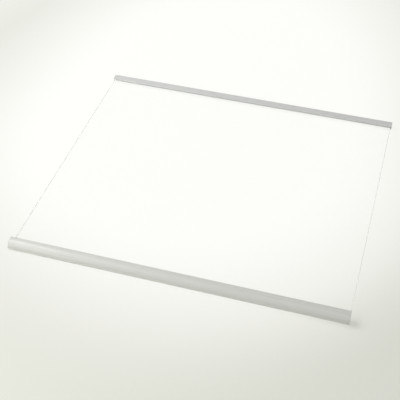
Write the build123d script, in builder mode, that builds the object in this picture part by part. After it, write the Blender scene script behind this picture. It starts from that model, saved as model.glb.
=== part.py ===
from build123d import *
from math import sqrt
import os

# Crisper drawer cover: a glass panel with a plastic trim pushed on to its front edge and another on its rear
# edge. Millimetres. X runs along the front edge, Y to the rear and Z up. The origin is on the plane that the
# front trim stands on, under the middle of the cover.

# Whole cover
cover_depth = 398.0  # foremost point of the nose to the back of the rear trim

# Glass panel
glass_width = 444.5
glass_thickness = 4.0
glass_corner_radius = 4.0
glass_arris = 0.5  # bevel ground round the edge of each face

# Grip of both trims on the glass
lip_clearance = 0.25  # between a lip and the face of the glass, taken up by the grip ribs
edge_clearance = 0.4  # between the edge of the glass and the floor of the slot
rib_width = 0.8
rib_inset = 1.8  # from the floor of the slot and from the tip of the lower lip to the nearest rib
upper_lip = 2.2
lower_lip = 1.6
lip_tip_radius = 0.8
inner_edge_radius = 0.4  # small corners that the die leaves on the hidden edges

# Front trim, a hollow bullnose
front_overhang = 2.75  # past each side of the glass when it is centred
front_slip = 2.25  # it was pushed on this far to the left of the middle of the glass
front_depth = 13.0
front_height = 15.0
front_grip = 7.4  # slot floor to the tip of the upper lip
front_under_grip = 6.4  # slot floor to the tip of the lower lip
nose_radius = 8.2
foot_setback = 2.8  # foremost point of the nose to the front of the foot
foot_width = 6.8
foot_edge_radius = 0.8
trim_wall = 1.6

# Rear trim, a flat channel
rear_overhang = 1.2  # past each side of the glass
rear_depth = 11.4
rear_under_grip = 5.6
rear_wall = 2.2
rear_edge_radius = 1.0

# Levels
lip_underside = front_height - upper_lip
glass_top = lip_underside - lip_clearance
glass_bottom = glass_top - glass_thickness
slot_bottom = glass_bottom - lip_clearance
slot_height = lip_underside - slot_bottom
lower_lip_underside = slot_bottom - lower_lip

# Places from front to rear
nose_front = -cover_depth / 2
front_lip_tip = nose_front + front_depth
front_floor = front_lip_tip - front_grip
cover_back = cover_depth / 2
rear_lip_tip = cover_back - rear_depth
rear_floor = cover_back - rear_wall
glass_front = front_floor + edge_clearance
glass_back = rear_floor - edge_clearance
glass_depth = glass_back - glass_front
glass_middle = (glass_front + glass_back) / 2


def cut_slot(floor, mouth, under_grip):
    # Slot for the edge of the glass, with two ribs on each lip that touch its faces.
    outwards = 1 if mouth > floor else -1
    with Locations(((floor + mouth) / 2, slot_bottom + slot_height / 2)):
        Rectangle(abs(mouth - floor), slot_height, mode=Mode.SUBTRACT)
    rib_places = [floor + outwards * reach for reach in (rib_inset, under_grip - rib_inset)]
    rib_levels = [glass_top + lip_clearance / 2, glass_bottom - lip_clearance / 2]
    with Locations(*[(place, level) for place in rib_places for level in rib_levels]):
        Rectangle(rib_width, lip_clearance)


def round_corner(section, corner, radius):
    fillet(section.vertices().sort_by_distance(corner)[0], radius)


def round_lips(section, upper_tip, lower_tip):
    round_corner(section, (upper_tip, front_height), lip_tip_radius)
    round_corner(section, (upper_tip, lip_underside), inner_edge_radius)
    round_corner(section, (lower_tip, slot_bottom), inner_edge_radius)
    round_corner(section, (lower_tip, lower_lip_underside), inner_edge_radius)


os.makedirs("parts", exist_ok=True)

# Glass panel
with BuildPart() as glass_panel:
    with BuildSketch(Plane((0, glass_middle, glass_bottom))):
        RectangleRounded(glass_width, glass_depth, glass_corner_radius)
    extrude(amount=glass_thickness)
    chamfer(glass_panel.faces().filter_by(Axis.Z).edges(), glass_arris)
glass_panel.part.label = "glass_panel"
export_step(glass_panel.part, "parts/glass_panel.step")

# Front trim: an extruded section, drawn from the tip of the upper lip round the nose to the lower lip
front_length = glass_width + 2 * front_overhang
nose_level = front_height - nose_radius
nose_centre = nose_front + nose_radius
foot_front = nose_front + foot_setback
foot_back = foot_front + foot_width
front_lower_tip = front_floor + front_under_grip
chin_radius = (foot_setback**2 + nose_level**2) / (2 * foot_setback)  # tangent to the nose, ends at the foot

with BuildPart() as front_trim:
    # Hollow inside the nose, cut off by the walls round the slot and behind the foot
    with BuildSketch(mode=Mode.PRIVATE) as chamber:
        inner_nose = nose_front + trim_wall
        inner_radius = nose_radius - trim_wall
        inner_top = nose_level + inner_radius
        inner_chin = chin_radius - trim_wall
        inner_foot = nose_front + chin_radius - sqrt(inner_chin**2 - (nose_level - trim_wall) ** 2)
        with BuildLine():
            CenterArc((nose_centre, nose_level), inner_radius, 90, 90)
            TangentArc((inner_nose, nose_level), (inner_foot, trim_wall), tangent=(0, -1))
            Polyline(
                (inner_foot, trim_wall),
                (front_lip_tip, trim_wall),
                (front_lip_tip, inner_top),
                (nose_centre, inner_top),
            )
        make_face()
        with Locations((front_floor - trim_wall, lower_lip_underside), (foot_back - trim_wall, 0)):
            Rectangle(front_depth, front_height, align=(Align.MIN, Align.MIN), mode=Mode.SUBTRACT)

    with BuildSketch(Plane.YZ.offset(-front_slip - front_length / 2)) as front_section:
        with BuildLine():
            Line((front_lip_tip, front_height), (nose_centre, front_height))
            CenterArc((nose_centre, nose_level), nose_radius, 90, 90)
            TangentArc((nose_front, nose_level), (foot_front, 0), tangent=(0, -1))
            Polyline(
                (foot_front, 0),
                (foot_back, 0),
                (foot_back, lower_lip_underside),
                (front_lower_tip, lower_lip_underside),
                (front_lower_tip, lip_underside),
                (front_lip_tip, lip_underside),
                (front_lip_tip, front_height),
            )
        make_face()
        add(chamber.sketch, mode=Mode.SUBTRACT)
        cut_slot(front_floor, front_lip_tip, front_under_grip)
        round_lips(front_section, front_lip_tip, front_lower_tip)
        round_corner(front_section, (foot_back, lower_lip_underside), inner_edge_radius)
        round_corner(front_section, (foot_back, 0), foot_edge_radius)
        round_corner(front_section, (foot_front, 0), foot_edge_radius)
    extrude(amount=front_length)
front_trim.part.label = "front_trim"
export_step(front_trim.part, "parts/front_trim.step")

# Rear trim: a channel whose lower lip stops short of the upper one
rear_length = glass_width + 2 * rear_overhang
rear_lower_tip = rear_floor - rear_under_grip

with BuildPart() as rear_trim:
    with BuildSketch(Plane.YZ.offset(-rear_length / 2)) as rear_section:
        with BuildLine():
            Polyline(
                (rear_lip_tip, front_height),
                (cover_back, front_height),
                (cover_back, lower_lip_underside),
                (rear_lower_tip, lower_lip_underside),
                (rear_lower_tip, lip_underside),
                (rear_lip_tip, lip_underside),
                close=True,
            )
        make_face()
        cut_slot(rear_floor, rear_lip_tip, rear_under_grip)
        round_lips(rear_section, rear_lip_tip, rear_lower_tip)
        round_corner(rear_section, (cover_back, front_height), rear_edge_radius)
        round_corner(rear_section, (cover_back, lower_lip_underside), rear_edge_radius)
    extrude(amount=rear_length)
rear_trim.part.label = "rear_trim"
export_step(rear_trim.part, "parts/rear_trim.step")
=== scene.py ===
import bpy
import bmesh
from math import asin, atan2, degrees, pi, radians, sqrt
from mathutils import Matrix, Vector


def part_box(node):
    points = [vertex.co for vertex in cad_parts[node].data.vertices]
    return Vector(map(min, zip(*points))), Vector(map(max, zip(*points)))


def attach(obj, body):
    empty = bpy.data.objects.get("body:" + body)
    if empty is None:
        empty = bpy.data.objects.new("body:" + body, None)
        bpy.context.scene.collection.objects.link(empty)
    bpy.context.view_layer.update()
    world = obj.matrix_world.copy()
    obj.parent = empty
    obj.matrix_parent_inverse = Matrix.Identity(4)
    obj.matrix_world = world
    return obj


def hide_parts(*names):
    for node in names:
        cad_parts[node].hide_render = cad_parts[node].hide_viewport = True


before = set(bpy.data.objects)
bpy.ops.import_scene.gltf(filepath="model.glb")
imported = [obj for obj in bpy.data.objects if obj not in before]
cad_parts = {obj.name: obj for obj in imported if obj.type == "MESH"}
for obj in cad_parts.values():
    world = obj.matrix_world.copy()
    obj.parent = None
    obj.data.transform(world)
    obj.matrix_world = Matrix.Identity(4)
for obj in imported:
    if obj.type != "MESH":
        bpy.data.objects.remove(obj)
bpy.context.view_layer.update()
scene = bpy.context.scene
scene.view_settings.view_transform = "Standard"
mm = 0.001
touching = 1e-6  # two places nearer than this are the same
sameCorner = 1e-5

frontLow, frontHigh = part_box("front_trim")
rearLow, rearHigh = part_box("rear_trim")
glassLow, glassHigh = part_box("glass_panel")
print("frame loaded:", ", ".join(sorted(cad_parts)))


# Shader sums

class Wire:  # a shader socket that takes part in Python sums
    def __init__(self, tree, socket=None):
        self.tree = tree
        self.socket = socket

    def node(self, kind, settings=None, inputs=None, output=0):
        made = self.tree.nodes.new("ShaderNode" + kind)
        for name, value in (settings or {}).items():
            setattr(made, name, value)
        for name, value in (inputs or {}).items():
            if isinstance(value, Wire):
                self.tree.links.new(value.socket, made.inputs[name])
            else:
                made.inputs[name].default_value = value
        return Wire(self.tree, made.outputs[output] if made.outputs else None)

    def sums(self, operation, first, second=0.0):
        return self.node("Math", {"operation": operation}, {0: first, 1: second})

    def __add__(self, other):
        return self.sums("ADD", self, other)

    def __radd__(self, other):
        return self.sums("ADD", other, self)

    def __sub__(self, other):
        return self.sums("SUBTRACT", self, other)

    def __rsub__(self, other):
        return self.sums("SUBTRACT", other, self)

    def __mul__(self, other):
        return self.sums("MULTIPLY", self, other)

    def __rmul__(self, other):
        return self.sums("MULTIPLY", other, self)

    def __gt__(self, other):
        return self.sums("GREATER_THAN", self, other)

    def __abs__(self):
        return self.sums("ABSOLUTE", self)


def newMaterial(name):
    material = bpy.data.materials.new(name)
    material.use_nodes = True
    material.node_tree.nodes.clear()
    return material, Wire(material.node_tree)


def mixColours(factor, first, second):  # 6, 7 and 2 are the colour sockets of a Mix node
    return factor.node("Mix", {"data_type": "RGBA"}, {0: factor, 6: first, 7: second}, 2)


def cloud(place, stretch, detail, roughness=0.5):  # noise with its own scale along each axis, 0 to 1
    spread = place.node("Mapping", {}, {"Vector": place, "Scale": stretch})
    return place.node("TexNoise", {}, {
        "Vector": spread, "Scale": 1.0, "Detail": detail, "Roughness": roughness,
    })


def fade(value, low, high):  # 0 below low, 1 above high, smooth between
    settings = {"interpolation_type": "SMOOTHSTEP"}
    return value.node("MapRange", settings, {"Value": value, "From Min": low, "From Max": high})


# Modelling helpers

def startPiece(name):  # an empty mesh in edit mode, at the origin
    if bpy.context.mode != "OBJECT":
        bpy.ops.object.mode_set(mode="OBJECT")
    bpy.ops.object.select_all(action="DESELECT")
    bpy.ops.mesh.primitive_plane_add(size=mm)
    piece = bpy.context.object
    piece.name = name
    piece.data.name = name
    bpy.ops.object.mode_set(mode="EDIT")
    bpy.ops.mesh.delete(type="VERT")
    return piece


def pick(piece, kind, wanted):  # selects the verts, edges or faces that wanted() says yes to
    bpy.ops.mesh.select_mode(type=kind)
    bpy.ops.mesh.select_all(action="DESELECT")
    shape = bmesh.from_edit_mesh(piece.data)
    for part in {"VERT": shape.verts, "EDGE": shape.edges, "FACE": shape.faces}[kind]:
        part.select_set(bool(wanted(part)))
    shape.select_flush_mode()
    bmesh.update_edit_mesh(piece.data)


def chosenVert(piece):
    return next(vert for vert in bmesh.from_edit_mesh(piece.data).verts if vert.select)


# One vertex, led round a section that closes on itself
def drawOutline(piece, end, start, strokes, arcSteps):
    bpy.ops.mesh.select_mode(type="VERT")
    bpy.ops.mesh.primitive_plane_add(size=mm, location=(end, *start))
    bpy.ops.mesh.merge(type="CENTER")
    for stroke in strokes:
        if len(stroke) == 2:  # straight to a point
            here = chosenVert(piece).co
            step = (0, stroke[0] - here.y, stroke[1] - here.z)
            bpy.ops.mesh.extrude_vertices_move(TRANSFORM_OT_translate={"value": step})
        else:  # round a centre, the angle counted from the top to the front
            centre = (end, stroke[0], stroke[1])
            bpy.ops.mesh.spin(steps=arcSteps, angle=stroke[2], center=centre, axis=(-1, 0, 0))
    bpy.ops.mesh.select_all(action="SELECT")
    bpy.ops.mesh.remove_doubles(threshold=touching)


def roundCorners(piece, corners, radius, segments):
    def isCorner(vert):
        return any(abs(vert.co.y - y) + abs(vert.co.z - z) < sameCorner for y, z in corners)
    pick(piece, "VERT", isCorner)
    bpy.ops.mesh.bevel(offset=radius, segments=segments, affect="VERTICES")


# The drawn section becomes a length of extrusion with deburred ends
def runToEnd(piece, left, right, deburr):
    bpy.ops.mesh.select_mode(type="EDGE")
    bpy.ops.mesh.select_all(action="SELECT")
    bpy.ops.transform.translate(value=(deburr, 0, 0))
    bpy.ops.mesh.extrude_edges_move(TRANSFORM_OT_translate={"value": (right - left - 2 * deburr, 0, 0)})
    ends = left + deburr, right - deburr
    for end in ends:
        pick(piece, "EDGE", lambda edge: all(abs(vert.co.x - end) < touching for vert in edge.verts))
        bpy.ops.mesh.fill(use_beauty=True)
    bpy.ops.mesh.select_all(action="SELECT")
    bpy.ops.mesh.normals_make_consistent(inside=False)
    for end in ends:
        pick(piece, "FACE", lambda face: all(abs(vert.co.x - end) < touching for vert in face.verts))
        bpy.ops.mesh.inset(thickness=deburr, depth=deburr)


def finishPiece(piece, smoothAngle):
    bpy.ops.object.mode_set(mode="OBJECT")
    bpy.ops.object.shade_smooth_by_angle(angle=radians(smoothAngle))
    piece.modifiers.new("evenNormals", "WEIGHTED_NORMAL").keep_sharp = True
    bpy.ops.object.modifier_apply(modifier="evenNormals")
    print(piece.name, "modelled:", len(piece.data.polygons), "faces")


# Grip that both trims have on the glass

grip = {
    "upperLip": 2.2 * mm,
    "lowerLip": 1.6 * mm,
    "clearance": 0.25 * mm,  # lip to glass, bridged by the ribs
    "ribWidth": 0.8 * mm,
    "ribInset": 1.8 * mm,
    "tipRadius": 0.8 * mm,
    "edgeRadius": 0.4 * mm,
    "deburr": 0.12 * mm,  # edge taken off the cut ends
    "cornerSteps": 6,
    "arcSteps": 28,
    "smoothAngle": 32,  # degrees
}
topLevel = frontHigh.z
lipUnderside = topLevel - grip["upperLip"]
slotBottom = glassLow.z - grip["clearance"]
lowerLipUnderside = slotBottom - grip["lowerLip"]


# From the lower lip's tip into the slot and out to the upper lip's tip
def slotStrokes(floor, upperTip, lowerTip):
    outwards = 1 if upperTip > floor else -1
    half = grip["ribWidth"] / 2
    nearRib = floor + outwards * grip["ribInset"]
    farRib = lowerTip - outwards * grip["ribInset"]
    strokes = []
    for rib in (farRib, nearRib):
        strokes += [(rib + outwards * half, slotBottom), (rib + outwards * half, glassLow.z)]
        strokes += [(rib - outwards * half, glassLow.z), (rib - outwards * half, slotBottom)]
    strokes += [(floor, slotBottom), (floor, lipUnderside)]
    for rib in (nearRib, farRib):
        strokes += [(rib - outwards * half, lipUnderside), (rib - outwards * half, glassHigh.z)]
        strokes += [(rib + outwards * half, glassHigh.z), (rib + outwards * half, lipUnderside)]
    return strokes + [(upperTip, lipUnderside)]


# Front trim, a hollow bullnose

frontTrim = {
    "noseRadius": 8.2 * mm,
    "gripDepth": 7.4 * mm,
    "underGrip": 6.4 * mm,
    "footSetback": 2.8 * mm,
    "footWidth": 6.8 * mm,
    "footEdge": 0.8 * mm,
    "footFrontCut": 0.33 * mm,  # run of the small round between chin and foot
    "wall": 1.6 * mm,
}
noseFront = frontLow.y
noseCentre = noseFront + frontTrim["noseRadius"]
noseLevel = topLevel - frontTrim["noseRadius"]
footFront = noseFront + frontTrim["footSetback"]
footBack = footFront + frontTrim["footWidth"]
chinRadius = (frontTrim["footSetback"] ** 2 + noseLevel ** 2) / (2 * frontTrim["footSetback"])
chinCentre = noseFront + chinRadius
chinTurn = asin(noseLevel / chinRadius)
frontLipTip = frontHigh.y
frontFloor = frontLipTip - frontTrim["gripDepth"]
frontLowerTip = frontFloor + frontTrim["underGrip"]

front = startPiece("frontTrim")
drawOutline(front, frontLow.x, (frontLipTip, topLevel), [
    (noseCentre, topLevel),
    (noseCentre, noseLevel, pi / 2),
    (chinCentre, noseLevel, chinTurn),
    (footBack, 0.0),
    (footBack, lowerLipUnderside),
    (frontLowerTip, lowerLipUnderside),
    (frontLowerTip, slotBottom),
    *slotStrokes(frontFloor, frontLipTip, frontLowerTip),
    (frontLipTip, topLevel),
], grip["arcSteps"])
roundCorners(front, [(frontLipTip, topLevel)], grip["tipRadius"], grip["cornerSteps"])
roundCorners(front, [(footBack, 0.0)], frontTrim["footEdge"], grip["cornerSteps"])
roundCorners(front, [(footFront, 0.0)], frontTrim["footFrontCut"], grip["cornerSteps"])
roundCorners(front, [
    (frontLipTip, lipUnderside),
    (frontLowerTip, slotBottom),
    (frontLowerTip, lowerLipUnderside),
    (footBack, lowerLipUnderside),
], grip["edgeRadius"], grip["cornerSteps"])

innerRadius = frontTrim["noseRadius"] - frontTrim["wall"]  # hollow inside the nose
innerChin = chinRadius - frontTrim["wall"]
innerTurn = asin((noseLevel - frontTrim["wall"]) / innerChin)
innerBack = frontFloor - frontTrim["wall"]
innerFootBack = footBack - frontTrim["wall"]
innerRun = noseCentre - innerBack
innerTop = noseLevel + sqrt(innerRadius ** 2 - innerRun ** 2)  # where the slot's wall meets the nose
noseStart = atan2(innerRun, innerTop - noseLevel)
drawOutline(front, frontLow.x, (innerBack, innerTop), [
    (noseCentre, noseLevel, pi / 2 - noseStart),
    (chinCentre, noseLevel, innerTurn),
    (innerFootBack, frontTrim["wall"]),
    (innerFootBack, lowerLipUnderside),
    (innerBack, lowerLipUnderside),
    (innerBack, innerTop),
], grip["arcSteps"])
runToEnd(front, frontLow.x, frontHigh.x, grip["deburr"])
finishPiece(front, grip["smoothAngle"])


# Rear trim, a flat channel

rearTrim = {
    "wall": 2.2 * mm,
    "underGrip": 5.6 * mm,
    "edgeRadius": 1.0 * mm,
}
rearLipTip = rearLow.y
coverBack = rearHigh.y
rearFloor = coverBack - rearTrim["wall"]
rearLowerTip = rearFloor - rearTrim["underGrip"]

rear = startPiece("rearTrim")
drawOutline(rear, rearLow.x, (rearLipTip, topLevel), [
    (coverBack, topLevel),
    (coverBack, lowerLipUnderside),
    (rearLowerTip, lowerLipUnderside),
    (rearLowerTip, slotBottom),
    *slotStrokes(rearFloor, rearLipTip, rearLowerTip),
    (rearLipTip, topLevel),
], grip["arcSteps"])
roundCorners(rear, [(rearLipTip, topLevel)], grip["tipRadius"], grip["cornerSteps"])
roundCorners(rear, [
    (coverBack, topLevel),
    (coverBack, lowerLipUnderside),
], rearTrim["edgeRadius"], grip["cornerSteps"])
roundCorners(rear, [
    (rearLipTip, lipUnderside),
    (rearLowerTip, slotBottom),
    (rearLowerTip, lowerLipUnderside),
], grip["edgeRadius"], grip["cornerSteps"])
runToEnd(rear, rearLow.x, rearHigh.x, grip["deburr"])
finishPiece(rear, grip["smoothAngle"])


# Glass sheet with ground edges

glassSheet = {
    "cornerRadius": 4.0 * mm,
    "cornerSteps": 10,
    "arris": 0.5 * mm,
    "smoothAngle": 25,  # degrees
    "faceTilt": 0.99,  # a face that looks up or down more than this is not an edge
}
bpy.ops.object.select_all(action="DESELECT")
bpy.ops.mesh.primitive_cube_add(size=1, location=(glassLow + glassHigh) / 2, scale=glassHigh - glassLow)
sheet = bpy.context.object
sheet.name = "glassSheet"
sheet.data.name = "glassSheet"
bpy.ops.object.transform_apply(location=True, rotation=True, scale=True)
bpy.ops.object.mode_set(mode="EDIT")
pick(sheet, "EDGE", lambda edge: abs(edge.verts[0].co.z - edge.verts[1].co.z) > touching)
bpy.ops.mesh.bevel(offset=glassSheet["cornerRadius"], segments=glassSheet["cornerSteps"], affect="EDGES")
pick(sheet, "EDGE", lambda edge: abs(edge.verts[0].co.z - edge.verts[1].co.z) < touching)
bpy.ops.mesh.bevel(offset=glassSheet["arris"], segments=1, affect="EDGES")
finishPiece(sheet, glassSheet["smoothAngle"])


# Grey plastic of the trims

plastic = {
    "frontLight": (0.625, 0.63, 0.605, 1),
    "frontDark": (0.595, 0.60, 0.575, 1),
    "rearLight": (0.625, 0.63, 0.63, 1),  # the rear trim is less yellow
    "rearDark": (0.595, 0.60, 0.60, 1),
    "cutEnd": (0.60, 0.605, 0.59, 1),
    "refraction": 1.5,
    "roughness": 0.29,
    "endRoughness": 0.25,  # added on the cut ends
    "endDepth": 0.3 * mm,  # how far the saw's marks reach in from an end
    "dieLines": ((3, 800, 800), 3),  # scale along each axis, then detail
    "fineLines": ((9, 4200, 4200), 2),
    "mottle": ((16, 40, 40), 3),
    "grain": ((1900, 1900, 1900), 2),
    "scuffs": ((60, 900, 300), 4, 0.7),
    "scuffFade": (0.62, 0.78),
    "sawMarks": ((300, 2600, 500), 2),
    "mottleShare": 0.6,  # of the change in colour
    "dieShare": 0.4,
    "dieRoughness": 0.12,
    "mottleRoughness": 0.08,
    "scuffRoughness": 0.1,
    "dieRelief": 0.5,
    "fineRelief": 0.3,
    "grainRelief": 0.2,
    "scuffRelief": 0.15,
    "bumpStrength": 0.25,
    "bumpDepth": 0.05 * mm,
}


def plasticMaterial(name, low, high, dark, light):
    material, graph = newMaterial(name)
    place = graph.node("TexCoord", output="Object")
    alongX = graph.node("SeparateXYZ", {}, {0: place})
    dieLines = cloud(place, *plastic["dieLines"])  # left by the die along the whole length
    fineLines = cloud(place, *plastic["fineLines"])
    mottle = cloud(place, *plastic["mottle"])
    grain = cloud(place, *plastic["grain"])
    scuffs = fade(cloud(place, *plastic["scuffs"]), *plastic["scuffFade"])
    sawMarks = cloud(place, *plastic["sawMarks"])
    half = (high.x - low.x) / 2
    end = abs(alongX - (low.x + half)) > half - plastic["endDepth"]
    tone = mottle * plastic["mottleShare"] + dieLines * plastic["dieShare"]
    colour = mixColours(end, mixColours(tone, dark, light), plastic["cutEnd"])
    lines = (dieLines - 0.5) * plastic["dieRoughness"]
    patches = (mottle - 0.5) * plastic["mottleRoughness"]
    wear = lines + patches + scuffs * plastic["scuffRoughness"]
    roughness = plastic["roughness"] + wear + end * plastic["endRoughness"]
    relief = dieLines * plastic["dieRelief"] + fineLines * plastic["fineRelief"]
    relief = relief + grain * plastic["grainRelief"] - scuffs * plastic["scuffRelief"]
    relief = relief + end * sawMarks
    bump = graph.node("Bump", {}, {
        "Height": relief, "Strength": plastic["bumpStrength"], "Distance": plastic["bumpDepth"],
    })
    shader = graph.node("BsdfPrincipled", {}, {
        "Base Color": colour, "Roughness": roughness, "Normal": bump, "IOR": plastic["refraction"],
    })
    graph.node("OutputMaterial", {}, {"Surface": shader})
    return material


for piece, name, low, high in (
    (front, "front", frontLow, frontHigh),
    (rear, "rear", rearLow, rearHigh),
):
    tones = plastic[name + "Dark"], plastic[name + "Light"]
    piece.data.materials.append(plasticMaterial(name + "Plastic", low, high, *tones))
print("plastic on the trims")


# Clear glass, and its ground edges

glass = {
    "tint": (0.99, 0.996, 0.992, 1),
    "refraction": 1.52,
    "shadow": (0.99, 0.995, 0.99, 1),  # what each face lets through to the floor
    "wipes": ((9, 38, 9), 4, 0.6),  # dried wiping marks
    "wipeFade": (0.5, 0.8),
    "wipeRoughness": 0.035,
    "specks": ((420, 420, 420), 1),
    "speckFade": (0.74, 0.8),
    "speckRoughness": 0.06,
    "edgeTint": (0.97, 0.99, 0.98, 1),
    "edgeDark": (0.9312, 0.9504, 0.9408, 1),
    "edgeRoughness": 0.45,
    "edgeClear": 0.35,  # the rest is white frost
    "edgeAlpha": 0.6,  # the edges show only as faint lines
    "edgeGrain": ((2600, 2600, 2600), 3),
    "edgeBelt": ((140, 140, 5200), 2),  # marks of the grinding belt, along the edge
    "edgeTone": ((30, 30, 30), 2),
    "grainRoughness": 0.15,
    "grainRelief": 0.6,
    "beltRelief": 0.4,
    "edgeBump": 0.3,
    "edgeBumpDepth": 0.03 * mm,
}


def letLampsThrough(shader, colour):  # light from lamps and from the floor goes straight through
    clear = shader.node("BsdfTransparent", {}, {"Color": colour})
    lamps = shader.node("LightPath", output="Is Shadow Ray")
    bounced = shader.node("LightPath", output="Is Diffuse Ray")
    shaded = shader.node("MixShader", {}, {0: lamps, 1: shader, 2: clear})
    return shader.node("MixShader", {}, {0: bounced, 1: shaded, 2: clear})


def glassMaterial():
    material, graph = newMaterial("clearGlass")
    place = graph.node("TexCoord", output="Object")
    wipes = fade(cloud(place, *glass["wipes"]), *glass["wipeFade"])
    specks = fade(cloud(place, *glass["specks"]), *glass["speckFade"])
    roughness = wipes * glass["wipeRoughness"] + specks * glass["speckRoughness"]
    shader = graph.node("BsdfPrincipled", {}, {
        "Base Color": glass["tint"], "Roughness": roughness,
        "Transmission Weight": 1.0, "IOR": glass["refraction"],
    })
    graph.node("OutputMaterial", {}, {"Surface": letLampsThrough(shader, glass["shadow"])})
    return material


def edgeMaterial():
    material, graph = newMaterial("groundEdge")
    place = graph.node("TexCoord", output="Object")
    grain = cloud(place, *glass["edgeGrain"])
    belt = cloud(place, *glass["edgeBelt"])
    tone = cloud(place, *glass["edgeTone"])
    colour = mixColours(tone, glass["edgeTint"], glass["edgeDark"])
    roughness = glass["edgeRoughness"] + (grain - 0.5) * glass["grainRoughness"]
    relief = grain * glass["grainRelief"] + belt * glass["beltRelief"]
    bump = graph.node("Bump", {}, {
        "Height": relief, "Strength": glass["edgeBump"], "Distance": glass["edgeBumpDepth"],
    })
    shader = graph.node("BsdfPrincipled", {}, {
        "Base Color": colour, "Roughness": roughness, "Normal": bump, "Alpha": glass["edgeAlpha"],
        "Transmission Weight": glass["edgeClear"], "IOR": glass["refraction"],
    })
    graph.node("OutputMaterial", {}, {"Surface": letLampsThrough(shader, glass["shadow"])})
    return material


sheet.data.materials.append(glassMaterial())
sheet.data.materials.append(edgeMaterial())
bpy.ops.object.mode_set(mode="EDIT")
pick(sheet, "FACE", lambda face: abs(face.normal.z) < glassSheet["faceTilt"])
sheet.active_material_index = 1
bpy.ops.object.material_slot_assign()
bpy.ops.object.mode_set(mode="OBJECT")
print("glass on the sheet")

for piece, node, finish in (
    (front, "front_trim", "grey_plastic"),
    (rear, "rear_trim", "grey_plastic"),
    (sheet, "glass_panel", "clear_glass"),
):
    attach(piece, "root")
    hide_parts(node)


# Pale floor under the cover, with a painted pool of light round it and painted shade further out

floorSheet = {
    "size": 14.0,
    "paper": (0.965, 0.965, 0.92, 1),
    "white": (1.0, 1.0, 0.97, 1),
    "paintedShade": (0.785, 0.79, 0.725, 1),  # painted shade: both tones turn to this grey round the painted pool of light
    "fibres": ((900, 900, 900), 3),
    "roughness": 0.8,
    "fibreRoughness": 0.15,
    "gloss": 0.1,
    "whiteShare": 0.93,  # how much plain white shows in the painted pool of light round the cover, fading the real shadows there
    "shareOutside": 0.3,
    "paintedLightPool": ((-0.065, 0.095), 0.21, 0.475),  # painted pool of light on the floor's tones: centre, then where it starts and stops fading
    # painted light: round this centre more plain white is mixed in, which fades the floor's real shadows
    # there
    "paintedLightSharePool": ((-0.10, 0.10), 0.36, 0.5),
    "rearStretch": 0.55,  # both painted pools run on further behind the cover
    "farInner": 0.45,
    "farOuter": 1.3,  # all white from here to the horizon
}
frontRest = Vector((0, footBack - frontTrim["footEdge"], frontLow.z))  # the two lines that it stands on
rearRest = Vector((0, coverBack - rearTrim["edgeRadius"], rearLow.z))
rise = rearRest - frontRest
tilt = atan2(rise.z, rise.y)
bpy.ops.mesh.primitive_plane_add(size=floorSheet["size"], location=frontRest, rotation=(tilt, 0, 0))
floor = bpy.context.object
floor.name = "floor"


def seenRays(graph):  # 1 for rays that show a surface: straight, mirrored or through glass
    straight = graph.node("LightPath", output="Is Camera Ray")
    mirrored = graph.node("LightPath", output="Is Glossy Ray")
    through = graph.node("LightPath", output="Is Transmission Ray")
    return straight.sums("MAXIMUM", straight.sums("MAXIMUM", straight, mirrored), through)


def poolOn(place, centre, inner, outer):  # 1 round the centre, fading to 0
    across = place.node("SeparateXYZ", {}, {0: place}, "X") - centre[0]
    along = place.node("SeparateXYZ", {}, {0: place}, "Y") - (centre[1] - frontRest.y)
    ahead = along.sums("MINIMUM", along, 0.0)
    behind = along.sums("MAXIMUM", along, 0.0) * floorSheet["rearStretch"]
    outwards = along.sums("SQRT", across * across + ahead * ahead + behind * behind)
    return 1 - fade(outwards, inner, outer)


def floorMaterial():
    material, graph = newMaterial("paleFloor")
    place = graph.node("TexCoord", output="Object")
    reach = graph.node("VectorMath", {"operation": "LENGTH"}, {0: place}, "Value")
    far = fade(reach, floorSheet["farInner"], floorSheet["farOuter"])
    # painted pool of light: the floor's tones are lighter round the cover and painted grey further out
    paintedLight = far.sums("MAXIMUM", poolOn(place, *floorSheet["paintedLightPool"]), far)
    gain = floorSheet["whiteShare"] - floorSheet["shareOutside"]
    # painted light over shadow: the share of plain white is highest in its own pool
    near = floorSheet["shareOutside"] + poolOn(place, *floorSheet["paintedLightSharePool"]) * gain
    share = near * (1 - far) + far
    fibres = cloud(place, *floorSheet["fibres"])
    roughness = floorSheet["roughness"] + fibres * floorSheet["fibreRoughness"]
    paperPaintedLight = mixColours(paintedLight, floorSheet["paintedShade"], floorSheet["paper"])
    paper = graph.node("BsdfPrincipled", {}, {
        "Base Color": paperPaintedLight, "Roughness": roughness, "Specular IOR Level": floorSheet["gloss"],
    })
    whitePaintedLight = mixColours(paintedLight, floorSheet["paintedShade"], floorSheet["white"])
    white = graph.node("Emission", {}, {"Color": whitePaintedLight, "Strength": 1.0})
    graph.node("OutputMaterial", {}, {
        "Surface": graph.node("MixShader", {}, {0: share * seenRays(graph), 1: paper, 2: white}),
    })
    return material


floor.data.materials.append(floorMaterial())
print("floor tilted", round(degrees(tilt), 3), "degrees")


# Light

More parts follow.
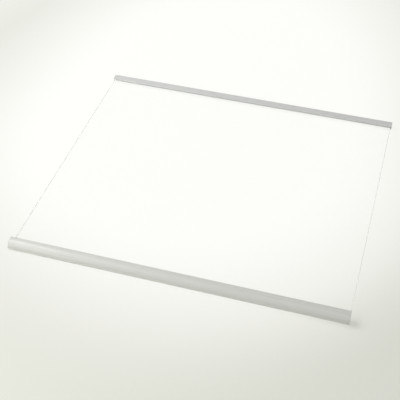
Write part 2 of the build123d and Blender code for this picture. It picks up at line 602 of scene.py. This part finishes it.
studio = {
    "fill": (1.0, 1.0, 0.985, 1),
    "fillStrength": 0.36,
    "lampColour": (1.0, 1.0, 0.97),
    "lamps": [  # place, aim, width, depth, watts
        ((-2.8, -0.2, 1.5), (0.0, 0.0, 0.0), 1.6, 1.6, 20.5),  # window side
        ((-1.3, -1.5, 1.2), (0.0, 0.0, 0.0), 1.2, 1.2, 7.7),  # front left
        ((-1.3, -1.5, 0.35), (0.0, 0.0, 0.0), 1.2, 0.5, 7.2),  # the same side, low, for the chin
        ((-1.0, 0.1, 1.3), (-0.2, 0.0, 0.0), 0.8, 0.8, 11.2),  # overhead left
        ((-0.72, -0.55, 1.1), (-0.72, -0.55, 0.0), 0.3, 0.3, 2.5),  # shines on the nose
    ],
}
world = bpy.data.worlds.new("studio")
world.use_nodes = True
world.node_tree.nodes.clear()
scene.world = world
sky = Wire(world.node_tree)
soft = sky.node("Background", {}, {"Color": studio["fill"], "Strength": studio["fillStrength"]})
plain = sky.node("Background", {}, {"Color": floorSheet["white"], "Strength": 1.0})
backdrop = sky.node("MixShader", {}, {0: seenRays(sky), 1: soft, 2: plain})
sky.node("OutputWorld", {}, {"Surface": backdrop})
for lampPlace, aim, width, depth, watts in studio["lamps"]:
    turn = (Vector(aim) - Vector(lampPlace)).to_track_quat("-Z", "Y").to_euler()
    bpy.ops.object.light_add(type="AREA", location=lampPlace, rotation=turn)
    lamp = bpy.context.object.data
    lamp.shape = "RECTANGLE"
    lamp.size = width
    lamp.size_y = depth
    lamp.energy = watts
    lamp.color = studio["lampColour"]
print("lamps:", len(studio["lamps"]))


# Camera at the photograph's angle

photoView = {
    "place": (0.235847, -0.883009, 0.82512),
    "azimuth": 16.333,
    "elevation": 43.008,
    "lens": 77.895,
    "sensor": 36.0,
}
turn = (radians(90 - photoView["elevation"]), 0, radians(photoView["azimuth"]))
bpy.ops.object.camera_add(location=photoView["place"], rotation=turn)
camera = bpy.context.object
camera.data.lens = photoView["lens"]
camera.data.sensor_width = photoView["sensor"]
scene.camera = camera
print("camera at", photoView["place"])
